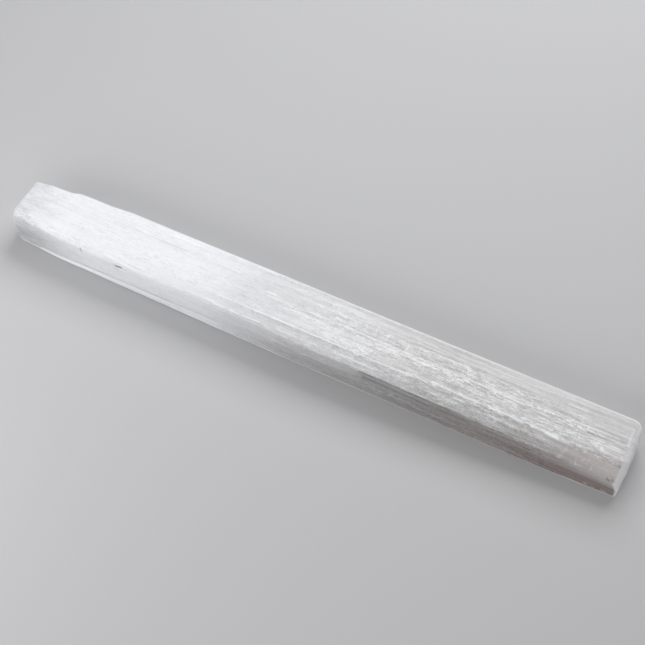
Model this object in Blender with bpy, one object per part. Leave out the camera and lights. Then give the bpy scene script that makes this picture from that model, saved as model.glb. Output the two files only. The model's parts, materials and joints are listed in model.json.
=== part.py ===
"""A raw selenite blade: one long crystal of fibrous satin spar, lying on its flat underside.

Frame: metres, +X along the fibres towards the squarer end, -Y the front, +Z up. The origin is
the middle of the underside of the blade's bounding box.

The crystal is one solid. Its surface is a loft through cross-sections. Each section has a corner
on every long edge line of the crystal, and the faces between those lines are split into narrow
strips that rise and fall a little, as bundles of fibres do.
"""

import math

import bmesh
import bpy
import numpy as np
from mathutils import Matrix, Vector, noise

MM = 0.001

# Driving dimensions of the blade.
LENGTH = 248.5 * MM
WIDTH = 24.8 * MM
THICKNESS = 15.5 * MM

HALF_LENGTH = LENGTH / 2
HALF_WIDTH = WIDTH / 2
HALF_THICKNESS = THICKNESS / 2

# The long edge lines, in order round the blade from the underside's back corner over the top.
# strips:  how many strips of fibre the face from this line to the next one has
# relief:  how far those strips stand in or out
# worn:    radius of the worn edge where this line meets the left end and the right end
# knots:   (along, across, up) as shares of half the length, half the width and the thickness
EDGE_LINES = {
    "heel": {
        "strips": 1,
        "relief": 0,
        "worn": (2.4 * MM, 0.5 * MM),
        "knots": [(-1, 0.62, 0), (-0.67, 0.83, 0), (0, 0.88, 0), (1, 0.90, 0)],
    },
    "back_low": {
        "strips": 4,
        "relief": 0.22 * MM,
        "worn": (2.4 * MM, 0.6 * MM),
        "knots": [
            (-1, 0.70, 0.17),
            (-0.67, 0.92, 0.16),
            (0.20, 0.97, 0.17),
            (0.23, 0.92, 0.16),
            (0.80, 0.93, 0.17),
            (1, 0.98, 0.18),
        ],
    },
    "back_shelf_lip": {
        "strips": 1,
        "relief": 0.06 * MM,
        "worn": (2.4 * MM, 0.9 * MM),
        "knots": [(-1, 0.72, 0.55), (-0.86, 0.88, 0.56), (-0.67, 0.98, 0.57), (0, 1, 0.58), (1, 1, 0.60)],
    },
    "back_shelf_root": {
        "strips": 3,
        "relief": 0.18 * MM,
        "worn": (2.3 * MM, 2.0 * MM),
        "knots": [
            (-1, 0.68, 0.61),
            (-0.872, 0.79, 0.62),
            (-0.852, 0.91, 0.62),
            (-0.67, 0.96, 0.63),
            (0, 0.98, 0.63),
            (1, 0.98, 0.65),
        ],
    },
    "back_top": {
        "strips": 1,
        "relief": 0.04 * MM,
        "worn": (1.4 * MM, 3.8 * MM),
        "knots": [
            (-1, 0.700, 0.96),
            (-0.960, 0.715, 0.97),
            (-0.943, 0.770, 0.97),
            (-0.872, 0.780, 0.97),
            (-0.862, 0.835, 0.97),
            (-0.845, 0.885, 0.97),
            (-0.735, 0.895, 0.97),
            (-0.665, 0.960, 0.97),
            (-0.36, 0.960, 0.97),
            (0.4, 0.978, 0.97),
            (0.8, 1, 0.97),
            (1, 1.015, 0.97),
        ],
    },
    "crown": {
        "strips": 11,
        "relief": 0.11 * MM,
        "worn": (1.4 * MM, 3.2 * MM),
        "knots": [
            (-1, 0.650, 0.98),
            (-0.960, 0.665, 1),
            (-0.943, 0.720, 1),
            (-0.872, 0.730, 1),
            (-0.862, 0.780, 1),
            (-0.845, 0.830, 1),
            (-0.735, 0.845, 1),
            (-0.665, 0.910, 1),
            (-0.36, 0.915, 1),
            (0.4, 0.933, 1),
            (1, 0.970, 1),
        ],
    },
    "ridge": {
        "strips": 4,
        "relief": 0.10 * MM,
        "worn": (2.6 * MM, 0.9 * MM),
        "knots": [
            (-1, -0.52, 0.97),
            (-0.25, -0.55, 1),
            (0.4, -0.51, 1),
            (0.73, -0.49, 1),
            (0.80, -0.555, 0.99),
            (0.88, -0.48, 1),
            (1, -0.35, 1),
        ],
    },
    "shoulder": {
        "strips": 3,
        "relief": 0.12 * MM,
        "worn": (3.9 * MM, 0.9 * MM),
        "knots": [
            (-1, -0.68, 0.87),
            (-0.85, -0.82, 0.93),
            (-0.67, -0.87, 0.94),
            (-0.35, -0.86, 0.93),
            (0, -0.945, 0.90),
            (0.4, -0.92, 0.84),
            (0.67, -0.88, 0.74),
            (1, -0.83, 0.57),
        ],
    },
    "front_step": {
        "strips": 4,
        "relief": 0.14 * MM,
        "worn": (3.6 * MM, 1.0 * MM),
        "knots": [
            (-1, -0.75, 0.58),
            (-0.67, -0.865, 0.61),
            (0, -0.965, 0.61),
            (0.10, -0.970, 0.61),
            (0.14, -0.945, 0.61),
            (0.4, -0.945, 0.58),
            (0.67, -0.92, 0.52),
            (1, -0.88, 0.38),
        ],
    },
    "front_shelf_root": {
        "strips": 1,
        "relief": 0.03 * MM,
        "worn": (4.6 * MM, 1.1 * MM),
        "knots": [
            (-1, -0.770, 0.10),
            (-0.905, -0.810, 0.120),
            (-0.822, -0.865, 0.125),
            (-0.67, -0.875, 0.125),
            (-0.36, -0.925, 0.110),
            (0, -0.980, 0.080),
            (0.4, -0.985, 0.060),
            (0.8, -0.975, 0.055),
            (1, -0.925, 0.050),
        ],
    },
    "front_shelf_lip": {
        "strips": 1,
        "relief": 0.03 * MM,
        "worn": (5.0 * MM, 1.0 * MM),
        "knots": [
            (-1, -0.810, 0.055),
            (-0.905, -0.862, 0.060),
            (-0.822, -0.930, 0.060),
            (-0.74, -0.925, 0.060),
            (-0.50, -0.955, 0.060),
            (-0.36, -0.980, 0.055),
            (0, -1, 0.045),
            (0.8, -1, 0.030),
            (1, -0.945, 0.030),
        ],
    },
    "toe": {
        "strips": 4,
        "relief": 0,
        "worn": (5.0 * MM, 0.7 * MM),
        "knots": [
            (-1, -0.780, 0),
            (-0.905, -0.845, 0),
            (-0.822, -0.910, 0),
            (-0.50, -0.940, 0),
            (-0.23, -0.980, 0),
            (0.1, -0.990, 0),
            (0.8, -0.990, 0),
            (1, -0.935, 0),
        ],
    },
}

# The left end is broken off square by this much: metres along X for each metre across Y.
LEFT_LEAN = 0.107
RIGHT_LEAN = 0

SECTION_GAP = 5 * MM
KNOT_ROUNDING = 1.2 * MM
END_FACE_RINGS = 4
END_BULGE = 0.5 * MM
END_ROUGHNESS = 0.22 * MM
END_GRAIN = 3 * MM

# Sections this far from each end face follow its worn edge round.
WORN_STEPS = [step * MM for step in (0, 0.06, 0.22, 0.5, 0.9, 1.5, 2.3, 3.3, 4.6)]

# Strips keep their height for about this far along the blade.
FIBRE_LENGTH = 45 * MM

# Small pits where splinters came away from the front and the right end, as (along, across, up)
# shares of their centres and sizes along X, Y and Z.
PITS = {
    "gouge": ((-0.600, -0.885, 0.80), (3.4 * MM, 1.4 * MM, 0.9 * MM)),
    "nick": ((-0.734, -0.870, 0.80), (0.7 * MM, 1.2 * MM, 1.6 * MM)),
    "end_chip": ((1.002, -0.22, 0.01), (2.0 * MM, 4.6 * MM, 3.6 * MM)),
}

CRYSTAL_COLOUR = (0.86, 0.87, 0.88, 1)
SHARP_ANGLE = math.radians(25)


def clear_scene():
    for thing in list(bpy.data.objects):
        bpy.data.objects.remove(thing)


def collection_named(name):
    made = bpy.data.collections.new(name)
    bpy.context.scene.collection.children.link(made)
    return made


def crystal_material():
    """Milky white, silky and not metallic."""
    made = bpy.data.materials.new("selenite")
    made.use_nodes = True
    shader = made.node_tree.nodes["Principled BSDF"]
    shader.inputs["Base Color"].default_value = CRYSTAL_COLOUR
    shader.inputs["Roughness"].default_value = 0.42
    shader.inputs["Metallic"].default_value = 0
    shader.inputs["IOR"].default_value = 1.52
    made.diffuse_color = CRYSTAL_COLOUR
    return made


def on_line(line, along):
    """(across, up) of an edge line, in metres, at this share of the half length. Taking the
    mean of a short stretch rounds the bends at the knots."""
    x, y, z = np.array(EDGE_LINES[line]["knots"], float).T
    near = along + np.linspace(-KNOT_ROUNDING, KNOT_ROUNDING, 7) / HALF_LENGTH
    return Vector((np.interp(near, x, y).mean() * HALF_WIDTH, np.interp(near, x, z).mean() * THICKNESS))


def strip_height(number, along, relief):
    """How far one fibre line stands out here: long slow waves, different on each line."""
    place = Vector((along * HALF_LENGTH / FIBRE_LENGTH, number * 3.7, 0.5))
    return relief * noise.noise(place, noise_basis="PERLIN_ORIGINAL") * 2


def outline(along):
    """The cross-section here, as [(across, up, worn radii)], one for each fibre line."""
    names = list(EDGE_LINES)
    points = []
    for name, following in zip(names, names[1:] + names[:1]):
        face, end = EDGE_LINES[name], EDGE_LINES[following]
        here, there = on_line(name, along), on_line(following, along)
        run = there - here
        outward = Vector((run.y, -run.x)).normalized()
        for strip in range(face["strips"]):
            share = strip / face["strips"]
            height = strip_height(len(points), along, face["relief"])
            place = here + run * share + outward * height
            worn = [a + (b - a) * share for a, b in zip(face["worn"], end["worn"])]
            points.append((place.x, max(place.y, 0), worn))
    return points


def lean(along):
    return LEFT_LEAN + (RIGHT_LEAN - LEFT_LEAN) * (along + 1) / 2


def worn_inset(radius, gap):
    """How far a worn edge of this radius has drawn in, at this distance from the end face."""
    return radius - math.sqrt(radius**2 - max(radius - gap, 0) ** 2)


def section(along):
    """One full ring of the loft at this share of the half length."""
    gap = HALF_LENGTH * (1 - abs(along))
    ring = []
    for across, up, (worn_left, worn_right) in outline(along):
        inset = worn_inset(worn_left if along < 0 else worn_right, gap)
        y = across * (1 - inset / HALF_WIDTH)
        z = HALF_THICKNESS + (up - HALF_THICKNESS) * (1 - inset / HALF_THICKNESS)
        ring.append((along * HALF_LENGTH + lean(along) * y, y, z))
    return ring


def end_ring(side, size):
    """A ring on the end face, this share of its full size, with a bulge and broken fibres.
    side is -1 at the left end and 1 at the right."""
    ring = []
    for _, y, z in section(side):
        y, z = y * size, HALF_THICKNESS + (z - HALF_THICKNESS) * size
        rough = noise.noise(Vector((y, z, side * HALF_LENGTH)) / END_GRAIN)
        out = END_BULGE * (1 - size * size) + END_ROUGHNESS * rough
        ring.append((side * (HALF_LENGTH + out) + lean(side) * y, y, z))
    return ring


def section_places():
    """Shares of the half length that get a section: every knot, the worn steps of both ends,
    and fillers wherever two of those are far apart."""
    steps = {1 - step / HALF_LENGTH for step in WORN_STEPS}
    knots = {knot[0] for line in EDGE_LINES.values() for knot in line["knots"]}
    places = sorted(steps | {-step for step in steps} | knots)
    filled = []
    for here, there in zip(places, places[1:]):
        count = max(1, round((there - here) * HALF_LENGTH / SECTION_GAP))
        filled += [here + (there - here) * i / count for i in range(count)]
    return filled + [places[-1]]


def all_rings():
    """Every ring of the loft from the left end's middle to the right end's middle."""
    sizes = [i / END_FACE_RINGS for i in range(1, END_FACE_RINGS)]
    rings = [end_ring(-1, size) for size in sizes]
    rings += [section(along) for along in section_places()]
    rings += [end_ring(1, size) for size in reversed(sizes)]
    return rings


def close_end(mesh, ring):
    """A fan from the last ring to its middle."""
    middle = mesh.verts.new(sum((v.co for v in ring), Vector()) / len(ring))
    for a, b in zip(ring, ring[1:] + ring[:1]):
        mesh.faces.new((a, b, middle))


def loft(rings):
    """One closed mesh through these rings, which all have as many points."""
    mesh = bmesh.new()
    lofted = [[mesh.verts.new(place) for place in ring] for ring in rings]
    for near, far in zip(lofted, lofted[1:]):
        for i in range(len(near)):
            j = (i + 1) % len(near)
            mesh.faces.new((near[i], near[j], far[j], far[i]))
    close_end(mesh, lofted[0])
    close_end(mesh, lofted[-1])
    bmesh.ops.recalc_face_normals(mesh, faces=mesh.faces)
    return mesh


def object_from(mesh, name, collection):
    data = bpy.data.meshes.new(name)
    mesh.to_mesh(data)
    mesh.free()
    made = bpy.data.objects.new(name, data)
    collection.objects.link(made)
    return made


def set_on_underside(blade):
    """Moves the mesh so that the origin is the middle of its box's underside."""
    corners = np.array([corner[:] for corner in blade.bound_box])
    low, high = corners.min(axis=0), corners.max(axis=0)
    middle = (low + high) / 2
    blade.data.transform(Matrix.Translation((-middle[0], -middle[1], -low[2])))


def cut_pit(blade, name, centre, size, cutters):
    """Cuts one splinter's pit with a ball drawn out to this size."""
    along, across, up = centre
    ball = bmesh.new()
    bmesh.ops.create_icosphere(ball, subdivisions=2, radius=0.5)
    bmesh.ops.scale(ball, vec=size, verts=ball.verts)
    cutter = object_from(ball, name, cutters)
    cutter.location = (along * HALF_LENGTH, across * HALF_WIDTH, up * THICKNESS)
    cutter.hide_render = True
    cutter.display_type = "WIRE"
    cut = blade.modifiers.new(name, "BOOLEAN")
    cut.operation = "DIFFERENCE"
    cut.object = cutter


def build():
    clear_scene()
    crystal = collection_named("selenite_crystal")
    cutters = collection_named("cutters")
    blade = object_from(loft(all_rings()), "selenite_blade", crystal)
    blade.data.materials.append(crystal_material())
    blade.data.shade_smooth()
    blade.data.set_sharp_from_angle(angle=SHARP_ANGLE)
    set_on_underside(blade)
    for name, (centre, size) in PITS.items():
        cut_pit(blade, name, centre, size, cutters)


build()
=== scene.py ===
"""The looks of a raw selenite blade: one long crystal of fibrous satin spar.

The blade's solid gives the form. A skin is laid over it on a fine grid, whose lines run along the
fibres and whose rings run round them, and the skin gets what the solid leaves out: bundles of
fibres, ledges where splinters came away, bruised and frosted bands, worn arrises, and the stubble
of broken fibres on both ends.

Frame: metres, +X along the fibres towards the squarer end, -Y the front, +Z up.
"""

import json
import math

import bpy
import numpy as np
from mathutils import Matrix, Vector, noise
from mathutils.bvhtree import BVHTree

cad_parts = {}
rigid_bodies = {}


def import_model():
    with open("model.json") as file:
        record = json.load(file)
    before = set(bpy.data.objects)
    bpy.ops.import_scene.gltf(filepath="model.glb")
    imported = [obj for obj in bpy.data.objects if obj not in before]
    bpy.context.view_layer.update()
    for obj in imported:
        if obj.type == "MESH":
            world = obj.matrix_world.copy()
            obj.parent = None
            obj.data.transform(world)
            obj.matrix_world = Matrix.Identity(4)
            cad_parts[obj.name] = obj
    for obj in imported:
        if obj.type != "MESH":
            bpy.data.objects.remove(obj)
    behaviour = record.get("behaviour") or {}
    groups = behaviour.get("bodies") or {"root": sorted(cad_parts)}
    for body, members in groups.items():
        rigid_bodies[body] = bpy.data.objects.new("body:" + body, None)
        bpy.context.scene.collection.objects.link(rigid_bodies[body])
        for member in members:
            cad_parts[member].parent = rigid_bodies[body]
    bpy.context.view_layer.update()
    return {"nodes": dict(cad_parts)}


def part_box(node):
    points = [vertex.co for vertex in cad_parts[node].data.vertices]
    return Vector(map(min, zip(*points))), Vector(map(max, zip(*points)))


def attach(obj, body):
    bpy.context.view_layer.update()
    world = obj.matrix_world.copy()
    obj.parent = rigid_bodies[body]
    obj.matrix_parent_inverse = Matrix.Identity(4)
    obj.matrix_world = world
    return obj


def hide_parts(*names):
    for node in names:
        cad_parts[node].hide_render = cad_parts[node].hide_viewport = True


MM = 0.001

# The skin's grid. Lines run along the fibres, and rings run round them.
FIBRE_LINES = 252
UNDERSIDE_PITCH = 2.6
END_DEPTH = 9 * MM
END_RADIUS = 9.5 * MM
END_FACE_GAP = 0.75 * MM
END_EDGE_GAP = 0.32 * MM
END_EDGE_REACH = 4.0 * MM
RING_GAP = 0.78 * MM
FINE_RING_GAP = 0.36 * MM
SPOKE_SAMPLES = 3601
UNDERSIDE_HEIGHT = 0.2 * MM
FAR = 0.1
GRID_EASING = 1

# Stretches along X with small breaks, where the rings crowd together: (start, end).
CROWDED = (
    (-115.9 * MM, -115.2 * MM),
    (-109.5 * MM, -104.0 * MM),
    (-92.4 * MM, -90.2 * MM),
    (-77.2 * MM, -72.0 * MM),
)

# The crystal's values from here on are in mm, unless they are shares, slopes or seeds. A pair says
# where something starts and where it is whole. In a row of three the first two are the ends of a
# stretch, and the third is how far it fades outside them.

# The front shoulder is worn round on the left: how often it is eased, where that ends along X,
# and where it starts towards the front and up the side.
SHOULDER_EASING = 40
WORN_ROUND_END = (-30, 8)
WORN_ROUND_FRONT = (5.5, 7.5)
WORN_ROUND_RISE = (6, 9)

# The right end is worn to a bevel on the top and the front: its length along X, the share of it
# at the foot, how far it draws the section in, where up the front it starts, and how much of it
# is missing at the back.
BEVEL_RUN = 2.8
BEVEL_FOOT_SHARE = 0.25
BEVEL_SHRINK = 0.30
BEVEL_FOOT = (3.0, 8.0)
BEVEL_BACK_LOSS = 0.75
BEVEL_BACK = (2, 9)

# Frosted bands of crushed splinters on top: (start and end along X, low and high across Y,
# strength).
FROSTED_BANDS = (
    (-119.5, -116.0, -8.4, -6.0, 0.90),
    (-112, -106, -8.8, -6.4, 0.30),
    (-68, -48, -6.0, 2.5, 0.22),
    (-56, -14, -11.6, -9.9, 0.30),
    (-34, 20, -6.9, -4.2, 0.15),
    (20, 119, -6.9, -4.2, 0.60),
    (-10, 20, -0.6, 1.9, 0.40),
    (20, 108, -0.6, 1.9, 0.85),
    (0, 30, -3.6, -0.8, 0.45),
    (8, 60, 2.9, 5.4, 0.35),
    (60, 104, 2.9, 5.4, 0.50),
    (2, 40, -9.4, -7.6, 0.30),
    (40, 76, -9.4, -7.6, 0.35),
    (76, 91, -8.6, -6.4, 0.50),
    (4, 40, -11.8, -10.2, 0.20),
    (40, 88, -11.0, -10.0, 0.25),
    (30, 92, -3.2, -1.2, 0.25),
    (96, 110, -3.6, -0.8, 0.50),
    (96, 104, -11.2, -9.2, 0.50),
)
BAND_SOFT_ALONG = 7
BAND_SOFT_ACROSS = 0.7
FROST_SWAY = 0.5
FROST_LEVEL = 0.70
FROST_UNEVEN = 1.1

# White lines along the lips of small ledges on top: (start and end along X, place across Y at the
# start and at the end, half width, strength).
WHITE_LINES = (
    (-62, -50, 9.5, 9.5, 0.35, 0.8),
    (-45, -33, 5.6, 5.6, 0.18, 0.8),
    (-27, -20, 10.9, 10.9, 0.25, 0.6),
    (-19, -15, 2.5, 2.5, 0.18, 0.8),
    (-18, -9, 1.1, 1.1, 0.20, 0.5),
    (-62, -50, -1.2, -1.2, 0.18, 0.4),
    (-58, -48, 8.6, 8.6, 0.20, 0.4),
    (-47, -36, -9.6, -9.4, 0.22, 0.8),
    (-82, -78, -9.15, -9.5, 0.20, 0.9),
    (-76, -68, -9.6, -10.4, 0.22, 0.9),
    (-58, -47, -10.8, -11.0, 0.22, 0.8),
    (-44, -38, -10.6, -10.6, 0.20, 0.8),
    (-34, -4, -6.45, -6.45, 0.22, 1.0),
    (-4, 42, -6.45, -6.45, 0.17, 0.7),
    (-35, -32, -9.9, -9.9, 0.20, 0.9),
    (-28.5, -25.5, -9.9, -10.0, 0.20, 0.9),
    (-23, -17, -10.0, -9.9, 0.20, 0.8),
    (-66, -61, -10.2, -10.4, 0.20, 0.7),
    (0, 1.5, 5.6, 5.6, 0.22, 0.7),
    (8.6, 11.2, 5.6, 5.6, 0.22, 0.6),
    (-9, 5, -9.7, -9.4, 0.18, 0.5),
    (-9, 5, -0.5, -0.6, 0.25, 0.7),
    (2, 11, -2.3, -2.3, 0.18, 0.6),
    (-16, -11, 1.5, 1.5, 0.20, 0.5),
    (-1, 3, 1.5, 1.5, 0.20, 0.7),
    (16, 62, 1.6, 1.5, 0.18, 0.65),
    (26, 50, 0.25, 0.2, 0.20, 0.7),
    (50, 60, 5.6, 5.6, 0.18, 0.5),
    (16, 30, -9.2, -9.3, 0.20, 0.7),
    (43, 50, 7.1, 7.1, 0.16, 0.4),
    (50, 92, -5.45, -5.8, 0.17, 0.7),
    (60, 63, -7.3, -7.3, 0.22, 0.9),
    (52, 58, -8.9, -8.8, 0.20, 0.7),
    (62, 92, 1.5, 0.0, 0.20, 0.65),
    (74, 84, -8.0, -8.3, 0.22, 0.6),
    (89, 98.5, -6.0, -6.5, 0.50, 1.0),
    (109, 119, 4.3, 4.4, 0.16, 0.4),
    (110, 119, -3.1, -3.3, 0.16, 0.4),
    (98, 104, 7.9, 7.9, 0.18, 0.5),
    (100, 117, 2.4, 2.5, 0.16, 0.4),
    (115.5, 117, -4.1, -4.2, 0.30, 0.6),
    (112, 120, 0.9, 0.7, 0.18, 0.5),
    (108, 119, -0.9, -1.1, 0.18, 0.5),
    (112, 120, -2.1, -2.3, 0.18, 0.5),
    (117, 122, -4.2, -4.4, 0.25, 0.5),
)
LINE_SOFT_ALONG = 1.6
LINE_SOFT_ACROSS = 0.06
LINE_SWAY = 0.22
LINE_BREAKS = (-0.45, 0.10)
LINE_LEAST = 0.30
LIP_SHADE_DROP = 0.60
LIP_SHADE_HALF = 0.36

# Lengthwise strokes on the front: (X and Z of one end, X and Z of the other, half width,
# strength). The thin ledge low on the left is white as a painted highlight, with a groove over it
# painted dark as its shade.
FRONT_WHITE_STROKES = (
    # The first four rows paint the highlight on the low ledge.
    (-112, 1.1, -92, 1.6, 0.50, 0.90),
    (-92, 1.6, -70, 2.2, 0.50, 1.00),
    (-70, 2.2, -53, 2.8, 0.50, 0.90),
    (-53, 2.8, -34, 3.4, 0.40, 0.50),
    (-75.4, 11.5, -72.8, 11.5, 0.36, 0.90),
)
FRONT_DARK_STROKES = (
    # The first four rows paint the shade of the groove over the low ledge.
    (-112, 2.3, -92, 2.9, 0.32, 0.16),
    (-92, 2.9, -70, 3.7, 0.30, 0.34),
    (-70, 3.7, -54, 4.4, 0.30, 0.36),
    (-54, 4.4, -34, 5.2, 0.30, 0.22),
    (26.2, 10.3, 48, 10.1, 0.30, 0.60),
    (48, 10.1, 68, 9.9, 0.30, 0.45),
    # These two rows paint the shadow just under the shoulder arris.
    (24.4, 12.9, 62, 12.4, 0.26, 0.30),
    (62, 12.4, 92, 11.8, 0.26, 0.22),
    (-16, 6.0, 22, 6.0, 0.16, 0.20),
    (-22, 5.1, 22, 5.0, 0.16, 0.26),
    (-8, 4.2, 22, 4.1, 0.16, 0.30),
    (-26, 3.3, 20, 3.2, 0.16, 0.26),
    (72, 9.4, 88, 8.3, 0.25, 0.30),
)
# Grooves on top, painted dark as their shade: (X and Y of one end, X and Y of the other, half
# width, strength).
TOP_DARK_STROKES = (
    (-121.2, 1.2, -118.2, 1.3, 0.24, 0.16),
    (-120.8, 0.0, -117.6, 0.1, 0.24, 0.16),
    (-121.0, -1.1, -119.4, -1.1, 0.22, 0.14),
    (-120.4, -5.0, -119.2, -5.3, 0.80, 0.10),
    (-97.4, -7.9, -95.0, -8.2, 0.25, 0.20),
    (-83.0, 5.3, -66.0, 5.2, 0.24, 0.10),
    (-66.0, 5.2, -54.6, 5.2, 0.24, 0.20),
    (-54.6, 5.2, -34.0, 5.0, 0.22, 0.10),
)

# Scratches and specks finer than the grid: (X and Y of one end, X and Y of the other, half width,
# strength) on top, and X and Z for those on the front.
TOP_SCRATCHES = (
    (113.6, -3.3, 114.2, -3.9, 0.85, 0.60),
    (111.4, -3.4, 112.0, -3.4, 0.60, 0.45),
    (19.6, 6.0, 20.0, 4.3, 0.28, 0.50),
    (23.6, 6.6, 23.9, 3.6, 0.26, 0.40),
    (14.6, 5.2, 15.8, 4.6, 0.30, 0.45),
    (17.6, -1.4, 18.4, -2.8, 0.30, 0.45),
    (59.5, 5.4, 61.6, 1.8, 0.28, 0.45),
    (61.6, 1.8, 63.2, 1.5, 0.28, 0.45),
    (101.2, -10.3, 102.6, -8.0, 1.00, 0.18),
    (107.0, -9.1, 107.5, -10.5, 0.36, 0.24),
    (109.7, -8.2, 109.3, -9.1, 0.36, 0.22),
    (111.6, -7.9, 111.0, -9.0, 0.50, 0.14),
    (113.1, -9.5, 112.9, -10.4, 0.42, 0.24),
    # The next three rows paint the highlight along the worn top edge of the right end.
    (121.7, 7.4, 121.6, 5.0, 0.90, 0.20),
    (121.6, 4.2, 121.8, 1.4, 0.80, 0.28),
    (121.3, -3.6, 121.4, -4.2, 0.90, 0.30),
    (36.5, 2.6, 37.2, 4.6, 0.34, 0.45),
    (28.2, 3.2, 28.8, 5.4, 0.30, 0.35),
    (44.5, 1.2, 46.2, 2.8, 0.34, 0.35),
)
FRONT_SCRATCHES = (
    (-1.4, 8.3, 0.4, 7.9, 0.32, 0.40),
    (0.4, 7.9, 3.4, 9.7, 0.32, 0.35),
    (23.2, 13.0, 25.4, 10.2, 0.45, 0.16),
    (112.6, 2.2, 113.4, 1.8, 0.60, 0.32),
    (118.8, 1.9, 120.8, 1.7, 0.60, 0.28),
    (115.4, 1.6, 116.4, 1.5, 0.50, 0.20),
)
# Pits and slits, painted near black as the shade in small hollows.
TOP_PITS = (
    (121.8, -6.3, 122.0, -6.5, 0.40, 0.45),
)
FRONT_PITS = (
    (-76.6, 12.85, -74.7, 12.9, 0.72, 0.90),
    (-78.0, 13.5, -76.6, 13.1, 0.30, 0.35),
    (-92.5, 13.9, -91.9, 12.6, 0.34, 0.70),
    (88.6, 8.15, 91.0, 8.05, 0.42, 0.60),
    (119.2, 9.4, 120.4, 8.9, 0.44, 0.50),
    (120.9, 9.5, 121.6, 9.4, 0.34, 0.40),
)
RUSTY_SPECKS = (
    (84.0, -9.0, 84.6, -9.0, 0.66, 0.50),
    (51.4, -10.1, 51.8, -10.1, 0.80, 0.14),
)

# How clear and how dark the front is, partly the crystal's clear grey depth and partly painted
# shade of the front, which faces away from the lights: (X, share high on the front, share low on
# it).
CLEARNESS_AND_SHADE = (
    (-124, 0.30, 0.50),
    (-115, 0.27, 0.48),
    (-107, 0.20, 0.32),
    (-98, 0.08, 0.16),
    (-90, 0.00, 0.00),
    (-38, 0.00, 0.00),
    (-26, 0.06, 0.08),
    (-12, 0.10, 0.28),
    (0, 0.20, 0.46),
    (22.5, 0.32, 0.58),
    (25.5, 0.68, 0.64),
    (60, 0.77, 0.82),
    (90, 0.75, 0.98),
    (106, 0.60, 1.00),
    (124, 0.46, 1.00),
)

# The height on the front where those two shares meet: (X, Z).
CLEAR_STEP = (
    (0, 9.4),
    (50, 9.0),
    (83, 7.6),
    (124, 5.6),
)
CLEAR_BELOW_STEP = 1.2
CLEAR_ABOVE_STEP = 0.6
# Slopes of the front that take the darker depth and its painted shade.
CLEAR_FACING = (0.60, 0.88)

# The height on the front down to which the shoulder is pale: (X, Z).
PALE_FOOT = (
    (70, 12.2),
    (95, 10.6),
    (118, 8.0),
)

# The pale shoulder, partly its own smooth tone and partly painted light lifting a facet turned
# from the lights: where it starts along X and above its foot, which slopes count as the facet, and
# how much of it shows on the steeper front below.
PALE_STRETCH = (66, 100)
PALE_RISE = 4
PALE_SLOPE = (0.50, 0.86, 0.12)
PALE_SLOPE_TILT = (0.25, 0.45)
PALE_STEEP_SHARE = 0.45
PALE_STEEP_FACING = (0.86, 0.95)
PALE_STEEP_STRETCH = (98, 112)
PALE_STEEP_RISE = 3

# How far the milk turns grey: (X, share of the greyer milk). The whiter left is partly painted
# light: the sheen and the stronger light on the left third.
GREYING = (
    (-124, 0.00),
    (-60, 0.04),
    (-38, 0.14),
    (-24, 0.42),
    (-6, 0.51),
    (18, 0.58),
    (42, 0.86),
    (56, 1.00),
    (72, 0.90),
    (124, 0.94),
)
GREY_SWAY = 9

# Where the grey depth turns brownish and the pale facet turns rose.
WARM_STRETCH = (36, 100)
WARM_SWAY = 8
ROSE_STRETCH = (95, 109)
ROSE_SWAY = 4

# How strongly the fibres show: at the left end, how much less after it, how much more to the
# right, and how much is missing on the smooth facet and on the smooth back.
TEXTURE_LEFT = 0.77
TEXTURE_DROP = 0.22
TEXTURE_DROP_STRETCH = (-85, -50)
TEXTURE_GROWTH = 0.45
TEXTURE_GROWTH_STRETCH = (-75, 35)
TEXTURE_LEVEL = 0.9
TEXTURE_UNEVEN = 0.5
SMOOTH_FACET = 0.6
SMOOTH_FACET_STRETCH = (90, 109)
SMOOTH_FACET_FRONT = (5.0, 6.5)
SMOOTH_BACK = 0.4
SMOOTH_BACK_STRETCH = (25, 55)
SMOOTH_BACK_REACH = (5.5, 8.5)
SMOOTH_BACK_GAIN = 4
SMOOTH_BACK_GAIN_STRETCH = (80, 105)

# Where fine curls of torn fibre lie, where the top is greyer beside its front arris, and where the
# back half is whiter as painted light.
HAIRY_STRETCH = (6, 60, 24)
HAIRY_ACROSS = (-9, 8.5, 3)
ARRIS_SHADE_FRONT = (9.0, 11.0)
ARRIS_SHADE_STRETCH = (-35, 92, 14)
ARRIS_SHADE_LEAST = 0.35
ARRIS_SHADE_GROWTH = (31, 45)
PALE_BACK_STRETCH = (15, 75)
PALE_BACK_ACROSS = (1, 8)

# Painted shade on the left end; the arrises that are white, partly chafed and partly painted
# highlights; and how far wear takes them down.
LEFT_END_SHADE_STRETCH = (-122, -103)
LEFT_END_SHADE_LEVEL = 0.7
LEFT_END_SHADE_UNEVEN = 0.8
WHITE_RIM_INSIDE_ENDS = (-118, 119, 4)
WHITE_RIM_BACK = (7, 9)
WHITE_RIM_FOOT = (0.5, 2.0)
WHITE_RIM_SHOULDER = 0.25
WHITE_RIM_SHOULDER_END = (-20, 20)
ARRIS_WEAR = 0.10

# Slopes of the surface that count as an arris, over this many grid points to both sides, as the
# top, the front, an end, and an end's face with broken fibres on it.
ARRIS_TURN = (0.08, 0.55)
ARRIS_REACH = 2
TOP_FACING = (0.30, 0.65)
FRONT_FACING = (0.30, 0.60)
END_FACING = (0.4, 0.7)
STUBBLE_FACING = (0.5, 0.9)

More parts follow.
